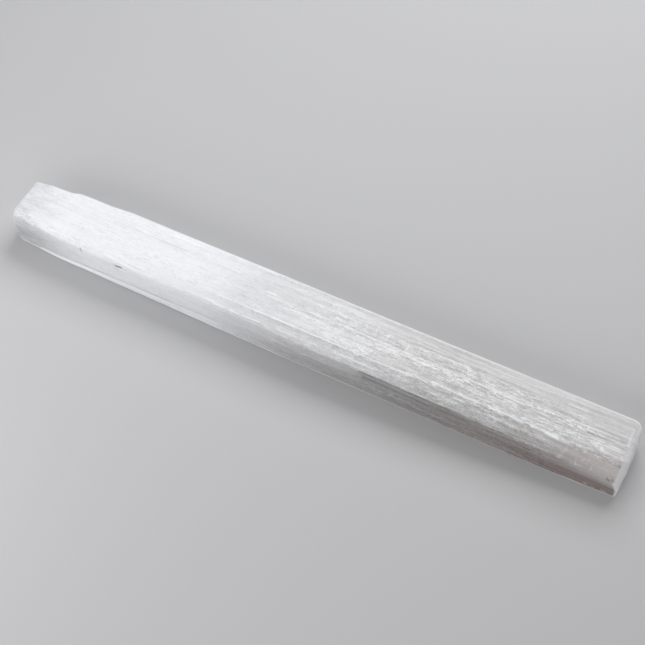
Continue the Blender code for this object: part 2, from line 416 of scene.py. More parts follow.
# Heights of the relief. The left end keeps a share of it.
RELIEF_LEFT = 0.30
RELIEF_GROWTH = (-45, 60)
LEDGE_HEIGHT = 0.16
LEDGE_STEP = 0.08
LEDGE_CRISPNESS = 5
BUNDLE_HEIGHT = 0.04
FIBRE_HEIGHT = 0.04
THREAD_HEIGHT = 0.03
CRUSHED_HEIGHT = 0.07
DENT_HEIGHT = 0.04
LIP_HEIGHT = 0.05
LIP_GAIN = 0.04
LIP_GAIN_STRETCH = (0, 40)
LIP_FRONT_GAIN = 0.15
SLIT_DEPTH = 0.30
STUBBLE_HEIGHT = 0.11

# Smooth noises over the grid: (length of a lump along X, Y and Z, seed).
LEDGE_NOISE = ((80, 2.6, 2.6), 1)
BUNDLE_NOISE = ((50, 1.2, 1.2), 2)
FIBRE_NOISE = ((30, 0.60, 0.60), 3)
THREAD_NOISE = ((12, 0.46, 0.46), 4)
CRUSHED_NOISE = ((3.2, 0.6, 0.6), 5)
STUBBLE_NOISE = ((4, 0.9, 0.9), 6)
DENT_NOISE = ((5, 2.5, 2.5), 7)
FROST_NOISE = ((12, 1.9, 1.9), 11)
FROST_SWAY_NOISE = ((30, 4, 4), 12)
LINE_SWAY_NOISE = ((22, 9, 9), 13)
LINE_BREAK_NOISE = ((5, 3, 3), 14)
TEXTURE_NOISE = ((22, 3, 3), 16)
LEFT_END_SHADE_NOISE = ((5, 3, 3), 17)
GREY_NOISE = ((40, 8, 8), 18)
WARM_NOISE = ((30, 5, 5), 19)
ROSE_NOISE = ((9, 2, 2), 20)
SEED_STEP = (7.31, 3.77, 5.13)


def clear_scene():
    """Takes out what an empty file starts with."""
    for thing in list(bpy.data.objects):
        bpy.data.objects.remove(thing)


# ---------------------------------------------------------------- the skin's grid


def in_mm(grid):
    """X, Y and Z of the grid's points, in mm."""
    return np.moveaxis(grid / MM, 2, 0)


def surface_tree(solid):
    """The solid's faces, ready for rays."""
    mesh = solid.data
    places = [vertex.co.copy() for vertex in mesh.vertices]
    faces = [tuple(face.vertices) for face in mesh.polygons]
    return BVHTree.FromPolygons(places, faces)


def spoke(angle):
    """A direction square to the fibres. It turns from the underside over the front and the top."""
    return np.array((0, -math.sin(angle), -math.cos(angle)))


def surface_point(tree, origin, direction):
    """Where a line from far outside, straight at the origin, first meets the solid."""
    start = Vector(origin + direction * FAR)
    return np.array(tree.ray_cast(start, Vector(-direction))[0])


def fibre_line_angles(tree, axis_height):
    """Angles of the spokes to the fibre lines, an even step apart on the blade's surface at mid
    length, with longer steps on the underside."""
    angles = np.linspace(0, math.tau, SPOKE_SAMPLES)
    origin = np.array((0, 0, axis_height))
    points = np.array([surface_point(tree, origin, spoke(angle)) for angle in angles])
    steps = np.linalg.norm(np.diff(points, axis=0), axis=1)
    under = np.maximum(points[1:, 2], points[:-1, 2]) < UNDERSIDE_HEIGHT
    steps[under] /= UNDERSIDE_PITCH
    run = np.concatenate(([0], np.cumsum(steps)))
    wanted = np.linspace(0, run[-1], FIBRE_LINES, endpoint=False)
    return np.interp(wanted, run, angles)


def spread(start, end, gap):
    """Numbers from start up to end, without end, about this gap apart."""
    count = max(1, round((end - start) / gap))
    return list(np.linspace(start, end, count, endpoint=False))


def end_tilts():
    """Tilts of the rays over an end, from the middle of its face to its sides. They go by the
    length along the profile of a plain cylinder's end."""
    rim_start = END_RADIUS - END_EDGE_REACH
    rim_end = END_RADIUS + END_EDGE_REACH
    total = END_RADIUS + END_DEPTH
    lengths = spread(END_FACE_GAP, rim_start, END_FACE_GAP)
    lengths += spread(rim_start, rim_end, END_EDGE_GAP)
    lengths += spread(rim_end, total, RING_GAP)
    tilts = []
    for length in lengths:
        out = min(length, END_RADIUS)
        down = END_DEPTH - max(length - END_RADIUS, 0)
        tilts.append(math.atan2(out, down))
    return tilts


def side_places(start, end):
    """Places of the rings along the sides, closer together at the small pits."""
    stops = [start]
    gaps = []
    for near, far in CROWDED:
        if near > start:
            stops += [near, far]
            gaps += [RING_GAP, FINE_RING_GAP]
    gaps.append(RING_GAP)
    stops.append(end)
    places = []
    for near, far, gap in zip(stops, stops[1:], gaps):
        places += spread(near, far, gap)
    return places + [end]


def skin_grid(tree, low, high):
    """The rings of the skin as an array (ring, fibre line, xyz), and the middles of both ends."""
    axis_height = (low.z + high.z) / 2
    spokes = [spoke(angle) for angle in fibre_line_angles(tree, axis_height)]
    left = low.x + END_DEPTH
    right = high.x - END_DEPTH
    tilts = end_tilts()
    rays = [(left, -math.cos(tilt), math.sin(tilt)) for tilt in tilts]
    rays += [(place, 0, 1) for place in side_places(left, right)]
    rays += [(right, math.cos(tilt), math.sin(tilt)) for tilt in reversed(tilts)]
    rings = []
    for place, along, out in rays:
        origin = np.array((place, 0, axis_height))
        lead = np.array((along, 0, 0))
        rings.append([surface_point(tree, origin, lead + way * out) for way in spokes])
    middles = [
        surface_point(tree, np.array((left, 0, axis_height)), np.array((-1, 0, 0))),
        surface_point(tree, np.array((right, 0, axis_height)), np.array((1, 0, 0))),
    ]
    return np.array(rings), middles


def eased_round(grid, rounds):
    """Every point drawn towards its neighbours on the same ring."""
    for _ in range(rounds):
        beside = (np.roll(grid, 1, axis=1) + np.roll(grid, -1, axis=1)) / 2
        grid = (grid + beside) / 2
    return grid


def soft_shoulder(grid):
    """Where the arris between the top and the front is worn round: the left half."""
    x, y, z = in_mm(grid)
    left = 1 - ramp(x, *WORN_ROUND_END)
    return (left * ramp(-y, *WORN_ROUND_FRONT) * ramp(z, *WORN_ROUND_RISE))[..., None]


def bevelled_end(grid, low, high):
    """The grid with the bevel on its right end. The back and the foot keep their edges."""
    x, y, z = in_mm(grid)
    middle = (low.z + high.z) / 2 / MM
    upper = ramp(z, *BEVEL_FOOT)
    run = BEVEL_RUN * (BEVEL_FOOT_SHARE + (1 - BEVEL_FOOT_SHARE) * upper)
    near = np.clip(1 - (high.x / MM - x) / run, 0, 1)
    drawn = BEVEL_SHRINK * near * upper * (1 - BEVEL_BACK_LOSS * ramp(y, *BEVEL_BACK))
    y = np.where(y < 0, y * (1 - drawn), y)
    z = np.where(z > middle, middle + (z - middle) * (1 - drawn), z)
    return np.stack((x, y, z), axis=2) * MM


def outward(grid):
    """Unit normals of the grid's surface."""
    along = np.gradient(grid, axis=0)
    around = np.roll(grid, -1, axis=1) - np.roll(grid, 1, axis=1)
    normals = np.cross(along, around)
    return normals / np.linalg.norm(normals, axis=2, keepdims=True)


# ---------------------------------------------------------------- relief and masks


def wander(grid, size, seed):
    """Smooth noise from about -1 to 1 over the grid, with lumps this long along X, Y and Z."""
    places = grid.reshape(-1, 3) / (np.array(size) * MM) + seed * np.array(SEED_STEP)
    found = [noise.noise(place) for place in places.tolist()]
    return np.array(found).reshape(grid.shape[:-1])


def ramp(values, start, end):
    """0 up to start, 1 from end on, and a smooth rise between."""
    share = np.clip((values - start) / (end - start), 0, 1)
    return share * share * (3 - 2 * share)


def band(values, start, end, soft):
    """1 between start and end, fading to 0 over this much outside them."""
    return ramp(values, start - soft, start) * (1 - ramp(values, end, end + soft))


def terraced(heights, step, crisp):
    """Heights cut into level ledges with short slopes between them."""
    levels = heights / step
    whole = np.floor(levels)
    rise = np.clip((levels - whole - 0.5) * crisp + 0.5, 0, 1)
    return (whole + rise) * step


def worn_arrises(normals):
    """How sharply the surface turns at each point: 0 on a face, 1 on an arris."""
    reach = ARRIS_REACH
    before = np.roll(normals, reach, axis=1)
    after = np.roll(normals, -reach, axis=1)
    turn_round = 1 - (before * after).sum(axis=2)
    padded = np.concatenate((normals[:reach], normals, normals[-reach:]))
    turn_along = 1 - (padded[: -2 * reach] * padded[2 * reach :]).sum(axis=2)
    return ramp(np.maximum(turn_round, turn_along), *ARRIS_TURN)


def on_top(normals):
    """How far the surface faces up."""
    return ramp(normals[..., 2], *TOP_FACING)


def on_front(normals):
    """How far the surface faces the front."""
    return ramp(-normals[..., 1], *FRONT_FACING)


def on_ends(normals, facing):
    """How far the surface faces along the fibres, between these two slopes."""
    return ramp(np.abs(normals[..., 0]), *facing)


def frosted_bands(grid, normals):
    """Where splinters were crushed and the crystal turned frosty white."""
    x, y, _ = in_mm(grid)
    y = y + FROST_SWAY * wander(grid, *FROST_SWAY_NOISE)
    frost = np.zeros(x.shape)
    for start, end, low, high, strength in FROSTED_BANDS:
        here = band(x, start, end, BAND_SOFT_ALONG) * band(y, low, high, BAND_SOFT_ACROSS)
        frost = np.maximum(frost, here * strength)
    patchy = FROST_LEVEL + FROST_UNEVEN * wander(grid, *FROST_NOISE)
    return np.clip(on_top(normals) * frost * patchy, 0, 1)


def stroke(along, across, start, end, half):
    """1 on the line between two points, fading out beside it and past its ends."""
    run = np.subtract(end, start)
    share = ((along - start[0]) * run[0] + (across - start[1]) * run[1]) / (run @ run)
    share = np.clip(share, 0, 1)
    off = np.hypot(along - start[0] - share * run[0], across - start[1] - share * run[1])
    return np.exp(-((off / half) ** 2))


def strokes(along, across, rows):
    """The strongest of these strokes at each point."""
    found = np.zeros(along.shape)
    for one, two, three, four, half, strength in rows:
        here = stroke(along, across, (one, two), (three, four), half)
        found = np.maximum(found, here * strength)
    return found


def white_lines(grid, normals):
    """The bruised lips of the small ledges on top and the shade beside them, and the painted
    highlight on the low ledge of the front.
    """
    x, y, z = in_mm(grid)
    sway = LINE_SWAY * wander(grid, *LINE_SWAY_NOISE)
    whole = ramp(wander(grid, *LINE_BREAK_NOISE), *LINE_BREAKS)
    lines = np.zeros(x.shape)
    shades = np.zeros(x.shape)
    for start, end, near, far, half, strength in WHITE_LINES:
        middle = near + (far - near) * np.clip((x - start) / (end - start), 0, 1)
        off = y + sway - middle
        along = band(x, start, end, LINE_SOFT_ALONG)
        across = np.exp(-((off / (half + LINE_SOFT_ACROSS)) ** 2))
        lines = np.maximum(lines, across * along * strength)
        below = np.exp(-(((off + LIP_SHADE_DROP) / LIP_SHADE_HALF) ** 2))
        shades = np.maximum(shades, below * along * strength)
    kept = (LINE_LEAST + (1 - LINE_LEAST) * whole) * on_top(normals)
    low = strokes(x, z + sway, FRONT_WHITE_STROKES) * on_front(normals)
    return np.maximum(lines * kept, low), shades * kept


def shaded_grooves(grid, normals):
    """Grooves along the fibres, painted dark as the shade in them."""
    x, y, z = in_mm(grid)
    high = strokes(x, y, TOP_DARK_STROKES) * on_top(normals)
    return np.maximum(high, strokes(x, z, FRONT_DARK_STROKES) * on_front(normals))


def clear_depth_and_front_shade(grid, normals):
    """Where the front is darker, more to the right: partly the clearer crystal's grey depth,
    partly painted shade of the front, which faces away from the lights.
    """
    x, _, z = in_mm(grid)
    places, high, low = np.array(CLEARNESS_AND_SHADE).T
    step = np.interp(x, *np.array(CLEAR_STEP).T)
    upper = ramp(z, step - CLEAR_BELOW_STEP, step + CLEAR_ABOVE_STEP)
    share = np.interp(x, places, high) * upper + np.interp(x, places, low) * (1 - upper)
    return ramp(-normals[..., 1], *CLEAR_FACING) * share


def warmed(grid):
    """Where the grey depth turns brownish: towards the right end."""
    return ramp(in_mm(grid)[0] + WARM_SWAY * wander(grid, *WARM_NOISE), *WARM_STRETCH)


def rosy(grid):
    """Where the pale facet turns rose: close to the right end."""
    return ramp(in_mm(grid)[0] + ROSE_SWAY * wander(grid, *ROSE_NOISE), *ROSE_STRETCH)


def greyed(grid):
    """Where the milky white turns grey, more to the right: partly the crystal's greyer milk,
    partly painted light, as the whiter left holds a painted sheen.
    """
    x = in_mm(grid)[0] + GREY_SWAY * wander(grid, *GREY_NOISE)
    return np.interp(x, *np.array(GREYING).T)


def texture_strength(grid):
    """How strongly the fibres show: less left of the middle, most to the right, and less again on
    the smooth facet by the right end and along the back."""
    x, y, _ = in_mm(grid)
    grown = TEXTURE_LEFT - TEXTURE_DROP * ramp(x, *TEXTURE_DROP_STRETCH)
    grown = grown + TEXTURE_GROWTH * ramp(x, *TEXTURE_GROWTH_STRETCH)
    facet = ramp(x, *SMOOTH_FACET_STRETCH) * ramp(-y, *SMOOTH_FACET_FRONT)
    gain = SMOOTH_BACK_GAIN * ramp(x, *SMOOTH_BACK_GAIN_STRETCH)
    back = ramp(x, *SMOOTH_BACK_STRETCH) * ramp(y + gain, *SMOOTH_BACK_REACH)
    uneven = TEXTURE_LEVEL + TEXTURE_UNEVEN * wander(grid, *TEXTURE_NOISE)
    return grown * (1 - SMOOTH_FACET * facet) * (1 - SMOOTH_BACK * back) * uneven


def pale_and_lit_shoulder(grid, normals):
    """The facet between the top and the front is paler by the right end: partly its own rose tint,
    partly painted light on the slopes that face the front.
    """
    x, _, z = in_mm(grid)
    facing = -normals[..., 1]
    foot = np.interp(x, *np.array(PALE_FOOT).T)
    slope = band(facing, *PALE_SLOPE) * ramp(normals[..., 2], *PALE_SLOPE_TILT)
    slope = slope * ramp(z, foot, foot + PALE_RISE)
    steep = PALE_STEEP_SHARE * ramp(facing, *PALE_STEEP_FACING) * ramp(x, *PALE_STEEP_STRETCH)
    steep = steep * ramp(z, foot - PALE_STEEP_RISE, foot)
    return (slope + steep) * ramp(x, *PALE_STRETCH)


def hairy(grid, normals):
    """Where fine curls of torn fibre lie on the top: from the middle on to the right."""
    x, y, _ = in_mm(grid)
    return on_top(normals) * band(x, *HAIRY_STRETCH) * band(y, *HAIRY_ACROSS)


def arris_shade(grid, normals):
    """The top is greyer in front, right over the clear part of the front."""
    x, y, _ = in_mm(grid)
    grown = ARRIS_SHADE_LEAST + (1 - ARRIS_SHADE_LEAST) * ramp(x, *ARRIS_SHADE_GROWTH)
    beside = ramp(-y, *ARRIS_SHADE_FRONT) * band(x, *ARRIS_SHADE_STRETCH)
    return on_top(normals) * beside * grown


def back_painted_light(grid):
    """Painted light: the back half is a little whiter towards the right end."""
    x, y, _ = in_mm(grid)
    return ramp(x, *PALE_BACK_STRETCH) * ramp(y, *PALE_BACK_ACROSS)


def left_end_shade(grid):
    """Painted shade on the blade's left end, uneven."""
    near = 1 - ramp(in_mm(grid)[0], *LEFT_END_SHADE_STRETCH)
    return near * (LEFT_END_SHADE_LEVEL + LEFT_END_SHADE_UNEVEN * wander(grid, *LEFT_END_SHADE_NOISE))


def chafed_and_lit_rims(grid, worn):
    """Where the arrises turn white: partly chafed by wear, partly painted highlights along the
    rims. The ends' edges and the low and back arrises most.
    """
    x, y, z = in_mm(grid)
    ends = 1 - band(x, *WHITE_RIM_INSIDE_ENDS)
    back = ramp(y, *WHITE_RIM_BACK)
    foot = 1 - ramp(z, *WHITE_RIM_FOOT)
    shoulder = WHITE_RIM_SHOULDER * (1 - ramp(x, *WHITE_RIM_SHOULDER_END))
    return worn * np.maximum(np.maximum(ends, back), np.maximum(foot, shoulder))


def relief(grid, normals, frosted, lines, dark):
    """How far the surface stands out from the solid's, in mm. The left end is smoother."""
    x, _, _ = in_mm(grid)
    rough = RELIEF_LEFT + (1 - RELIEF_LEFT) * ramp(x, *RELIEF_GROWTH)
    ledges = terraced(LEDGE_HEIGHT * wander(grid, *LEDGE_NOISE), LEDGE_STEP, LEDGE_CRISPNESS)
    bundles = BUNDLE_HEIGHT * wander(grid, *BUNDLE_NOISE)
    fibres = FIBRE_HEIGHT * wander(grid, *FIBRE_NOISE)
    threads = THREAD_HEIGHT * wander(grid, *THREAD_NOISE)
    crushed = CRUSHED_HEIGHT * wander(grid, *CRUSHED_NOISE) * frosted
    dents = DENT_HEIGHT * wander(grid, *DENT_NOISE)
    lip_height = LIP_HEIGHT + LIP_GAIN * ramp(x, *LIP_GAIN_STRETCH)
    lips = (lip_height + LIP_FRONT_GAIN * on_front(normals)) * lines
    slits = SLIT_DEPTH * dark
    stubble = STUBBLE_HEIGHT * wander(grid, *STUBBLE_NOISE) * on_ends(normals, STUBBLE_FACING)
    rise = (ledges + bundles + fibres + threads) * rough
    return rise + dents + crushed + lips - slits + stubble


# ---------------------------------------------------------------- the skin's mesh


def skin_faces(rings, lines):
    """The grid's squares, and a fan of triangles round the middle of each end."""
    faces = []
    for ring in range(rings - 1):
        for line in range(lines):
            beside = (line + 1) % lines
            near = ring * lines
            far = near + lines
            faces.append((near + line, far + line, far + beside, near + beside))
    left_middle = rings * lines
    right_middle = left_middle + 1
    last = (rings - 1) * lines
    for line in range(lines):
        beside = (line + 1) % lines
        faces.append((left_middle, line, beside))
        faces.append((last + beside, last + line, right_middle))
    return faces


def unwrap(mesh, rings, lines):
    """Lays the skin out flat: along the blade one way and round it the other."""
    layer = mesh.uv_layers.new(name="OFBake")
    middles = (rings * lines, rings * lines + 1)
    for face in mesh.polygons:
        columns = [index % lines for index in face.vertices if index not in middles]
        wraps = max(columns) - min(columns) > 1
        for loop, index in zip(face.loop_indices, face.vertices):
            if index in middles:
                ring = 0 if index == middles[0] else rings + 1
                column = min(columns) + 0.5 if not wraps else lines - 0.5
            else:
                ring = index // lines + 1
                column = index % lines
                if wraps and column == 0:
                    column = lines
            layer.data[loop].uv = (ring / (rings + 1), column / lines)


def add_mask(mesh, name, grid_values, middle_values):
    """Keeps a mask in the mesh, a value at each point, for the crystal's finish to read."""
    layer = mesh.attributes.new(name, "FLOAT", "POINT")
    values = np.concatenate((grid_values.ravel(), middle_values)).astype(np.float32)
    layer.data.foreach_set("value", values)


def build_skin(solid, low, high):
    """The skin over this solid, whose box reaches from low to high."""
    tree = surface_tree(solid)
    grid, middles = skin_grid(tree, low, high)
    ring_count, line_count = grid.shape[:2]
    grid = bevelled_end(eased_round(grid, GRID_EASING), low, high)
    grid = grid + (eased_round(grid, SHOULDER_EASING) - grid) * soft_shoulder(grid)
    normals = outward(grid)
    worn = worn_arrises(normals)
    frosted = frosted_bands(grid, normals)
    lines, lip_shades = white_lines(grid, normals)
    dark = shaded_grooves(grid, normals)
    masks = {
        "chafed_and_lit_rims": chafed_and_lit_rims(grid, worn),
        "frosted": frosted,
        "white_line": lines,
        "lip_shade": lip_shades,
        "groove_shade": dark,
        "clear": clear_depth_and_front_shade(grid, normals),
        "greyed": greyed(grid),
        "warmed": warmed(grid),
        "left_end_shading": left_end_shade(grid),
        "pale_and_lit": pale_and_lit_shoulder(grid, normals),
        "rosy": rosy(grid),
        "back_painted_light": back_painted_light(grid),
        "arris_shade": arris_shade(grid, normals),
        "hairy": hairy(grid, normals),
        "top": on_top(normals),
        "front": on_front(normals),
        "texture": texture_strength(grid),
        "end_face": on_ends(normals, END_FACING),
    }
    height = relief(grid, normals, frosted, lines, dark) - ARRIS_WEAR * worn
    grid = grid + normals * (height * MM)[..., None]
    grid = np.clip(grid, np.array(low), np.array(high))
    places = np.concatenate((grid.reshape(-1, 3), np.array(middles)))
    mesh = bpy.data.meshes.new("selenite_skin")
    mesh.from_pydata(places.tolist(), [], skin_faces(ring_count, line_count))
    mesh.polygons.foreach_set("use_smooth", [True] * len(mesh.polygons))
    unwrap(mesh, ring_count, line_count)
    for name, values in masks.items():
        add_mask(mesh, name, values, values[:: ring_count - 1].mean(axis=1))
    mesh.update()
    skin = bpy.data.objects.new("selenite_skin", mesh)
    bpy.context.scene.collection.objects.link(skin)
    return skin


# ---------------------------------------------------------------- finishes

GRAIN_DETAIL = 2
GRAIN_ROUGHNESS = 0.55
SCRATCH_CORE = 0.2

# Sockets of the Mix node for colours.
MIX_UNDER = 6
MIX_OVER = 7
MIX_RESULT = 2


class Reading:
    """A number that changes over the surface. Sums and products of it add Math nodes."""

    def __init__(self, finish, socket):
        self.finish = finish
        self.socket = socket

    def __add__(self, other):
        return self.finish.math("ADD", self, other)

    def __radd__(self, other):
        return self.finish.math("ADD", other, self)

    def __sub__(self, other):
        return self.finish.math("SUBTRACT", self, other)

    def __rsub__(self, other):
        return self.finish.math("SUBTRACT", other, self)

    def __mul__(self, other):
        return self.finish.math("MULTIPLY", self, other)

    def __rmul__(self, other):
        return self.finish.math("MULTIPLY", other, self)


class Finish:
    """One material and the nodes that it is made of."""

    def __init__(self, name):
        self.material = bpy.data.materials.new(name)
        self.material.use_nodes = True
        self.tree = self.material.node_tree
        self.tree.nodes.clear()

    def node(self, kind, settings, sockets):
        """A node of this kind. Its settings are set first, then its sockets, each by name or
        number, get a plain value or a link."""
        made = self.tree.nodes.new(kind)
        for name, value in settings.items():
            setattr(made, name, value)
        for name, value in sockets.items():
            if isinstance(value, Reading):
                value = value.socket
            if isinstance(value, bpy.types.NodeSocket):
                self.tree.links.new(value, made.inputs[name])
            else:
                made.inputs[name].default_value = value
        return made

    def math(self, operation, one, other):
        """A Math node of two readings or numbers."""
        made = self.node("ShaderNodeMath", {"operation": operation}, {0: one, 1: other})
        return Reading(self, made.outputs[0])

    def mask(self, name):
        """What the skin's mesh keeps under this name."""
        made = self.node("ShaderNodeAttribute", {"attribute_name": name}, {})
        return Reading(self, made.outputs["Fac"])

    def grain(self, place, size, seed, twist=0.0):
        """Noise from 0 to 1 with lumps this long along X, Y and Z, in mm."""
        scale = [1 / (length * MM) for length in size]
        shift = [seed * step for step in SEED_STEP]
        spot = self.node(
            "ShaderNodeVectorMath", {"operation": "MULTIPLY_ADD"}, {0: place, 1: scale, 2: shift}
        )
        made = self.node(
            "ShaderNodeTexNoise",
            {"noise_dimensions": "3D"},
            {
                "Vector": spot.outputs[0],
                "Scale": 1,
                "Detail": GRAIN_DETAIL,
                "Roughness": GRAIN_ROUGHNESS,
                "Distortion": twist,
            },
        )
        return Reading(self, made.outputs[0])

    def scratch(self, place, start, end, half):
        """1 near the line between two points of a plane, 0 from this far away on. The place has
        to lie in that plane."""
        start = Vector(start)
        run = Vector(end) - start
        off = self.node("ShaderNodeVectorMath", {"operation": "SUBTRACT"}, {0: place, 1: start})
        reach = self.node(
            "ShaderNodeVectorMath",
            {"operation": "DOT_PRODUCT"},
            {0: off.outputs[0], 1: run / run.length_squared},
        )
        share = self.node("ShaderNodeClamp", {}, {0: reach.outputs["Value"]})
        near = self.node(
            "ShaderNodeVectorMath", {"operation": "SCALE"}, {0: run, "Scale": share.outputs[0]}
        )
        gap = self.node(
            "ShaderNodeVectorMath",
            {"operation": "DISTANCE"},
            {0: off.outputs[0], 1: near.outputs[0]},
        )
        return self.between(Reading(self, gap.outputs["Value"]), half, half * SCRATCH_CORE)

    def flat(self, place, plane):
        """The place with the directions that are 0 in the plane left out."""
        made = self.node("ShaderNodeVectorMath", {"operation": "MULTIPLY"}, {0: place, 1: plane})
        return made.outputs[0]

    def scratched(self, under, over, place, plane, gate, rows):
        """The under colour with the over colour along these scratches."""
        first, second = [axis for axis in range(3) if plane[axis]]
        flat_place = self.flat(place, plane)
        for one, two, three, four, half, strength in rows:
            start = [0, 0, 0]
            end = [0, 0, 0]
            start[first], start[second] = one * MM, two * MM
            end[first], end[second] = three * MM, four * MM
            mark = self.scratch(flat_place, start, end, half * MM)
            under = self.mixed(mark * (strength * gate), under, over)
        return under

    def between(self, value, start, end):
        """0 up to start, 1 from end on, and a smooth rise between."""
        made = self.node(
            "ShaderNodeMapRange",
            {"interpolation_type": "SMOOTHSTEP", "clamp": True},
            {"Value": value, "From Min": start, "From Max": end},
        )
        return Reading(self, made.outputs[0])

    def mixed(self, share, under, over, blend="MIX"):
        """The under colour with this share of the over colour."""
        made = self.node(
            "ShaderNodeMix",
            {"data_type": "RGBA", "blend_type": blend, "clamp_factor": True},
            {0: share, MIX_UNDER: under, MIX_OVER: over},
        )
        return made.outputs[MIX_RESULT]

    def shaded(self, share, under, shade):
        """The under colour darkened by this share of the shade."""
        return self.mixed(share, under, shade, "MULTIPLY")


# The left milk is whiter partly as a painted sheen and the stronger light on the left.
MILK_LEFT_AND_SHEEN = (0.885, 0.902, 0.938, 1)
MILK_RIGHT = (0.53, 0.522, 0.522, 1)
COOL_DEPTH_AND_SHADE = (0.253, 0.238, 0.234, 1)
WARM_DEPTH_AND_SHADE = (0.279, 0.228, 0.212, 1)
LIT_FACET_GREY = (0.72, 0.705, 0.71, 1)
ROSE_GREY = (0.755, 0.69, 0.665, 1)
# ICE_WHITE lightens the end faces, partly as painted light.
ICE_WHITE = (0.93, 0.925, 0.95, 1)
BRUISE_WHITE = (0.97, 0.973, 0.99, 1)
SHADE = (0.50, 0.49, 0.495, 1)
CREVICE_SHADE_GREY = (0.08, 0.075, 0.07, 1)
RUST = (0.55, 0.30, 0.08, 1)

TOP_PLANE = (1, 1, 0)
FRONT_PLANE = (1, 0, 1)

# Grains in the crystal: (length of a lump along X, Y and Z, seed), and the twist of the crumbs.
SILK_GRAIN = ((40, 0.36, 0.36), 1)
SLIVER_GRAIN = ((4.2, 0.50, 0.50), 2)
BUNDLE_GRAIN = ((60, 1.5, 1.5), 3)
CRUMB_GRAIN = ((1.1, 0.50, 0.50), 4)
PATCH_GRAIN = ((4, 1.2, 1.2), 5)
CLOUD_GRAIN = ((9, 3, 3), 6)
FLAKE_GRAIN = ((2.2, 0.40, 0.40), 7)
CURL_GRAIN = ((1.5, 0.95, 0.95), 8)
CRUMB_TWIST = 1.2

# Levels of a grain between which a mark grows.
PATCH_LEVELS = (0.45, 0.55)
CLOUD_LEVELS = (0.52, 0.36)
BUNDLE_LEVELS = (0.50, 0.36)
DARK_SILK_LEVELS = (0.48, 0.36)
BRIGHT_SILK_LEVELS = (0.53, 0.64)
GAP_LEVELS = (0.46, 0.37)
PIT_LEVELS = (0.46, 0.37)
CHIP_LEVELS = (0.52, 0.59)
SPLINTER_LEVELS = (0.54, 0.60)
FLECK_LEVELS = (0.60, 0.65)
HAIR_LEVELS = (0.0050, 0.0008)
MIDDLE_LEVEL = 0.5

# Shares of what covers a whole region.
FROST_BETWEEN_PATCHES = 0.15
FAINT_WHERE_CLEAR = 0.40
DEPTH_AND_SHADE_SHARE = 0.75
DEPTH_STREAKS = 0.5
FACET_SHARE = 0.60
BACK_PAINTED_LIGHT_SHARE = 0.13
ARRIS_SHADE_SHARE = 0.22
LEFT_END_SHADE_SHARE = 0.36
LIP_SHADE_SHARE = 0.26
FROST_SHARE = 0.23
WHITE_RIM_SHARE = 0.7
END_FACE_SHARE = 0.72

# Shares of the marks: by how strongly the fibres show, and where the crystal is frosted or clear.
CLOUD_SHARE = 0.10
BUNDLE_SHARE = 0.07
DARK_SILK_SHARE = 0.12
DARK_SILK_CLEAR_SHARE = 0.74
BRIGHT_SILK_SHARE = 0.18
GAP_SHARE = 0.15
GAP_FROST_SHARE = 0.12
PIT_LEAST = 0.06
PIT_SHARE = 0.15
PIT_FROST_SHARE = 0.40
CHIP_SHARE = 0.20
CHIP_FROST_SHARE = 0.75
SPLINTER_SHARE = 0.18
SPLINTER_FROST_SHARE = 0.55
HAIR_SHARE = 0.26
HAIR_FROST_SHARE = 0.16
FLECK_SHARE = 0.16
FLECK_FROST_SHARE = 0.95

# The polish and the fine bumps.
ROUGHNESS = 0.36
FROST_ROUGHNESS = 0.25
SILK_ROUGHNESS = 0.10
SILK_BUMP = 0.4
SLIVER_BUMP = 0.4
CRUMB_BUMP = 0.30
CRUMB_FROST_BUMP = 0.8
BUMP_STRENGTH = 0.8
BUMP_HEIGHT = 0.10 * MM

# How light wanders in the crystal.
REFRACTION = 1.52
MILKINESS = 0.5
LIGHT_REACH = 2.2 * MM
LIGHT_REACH_BY_COLOUR = (1.0, 1.0, 1.0)


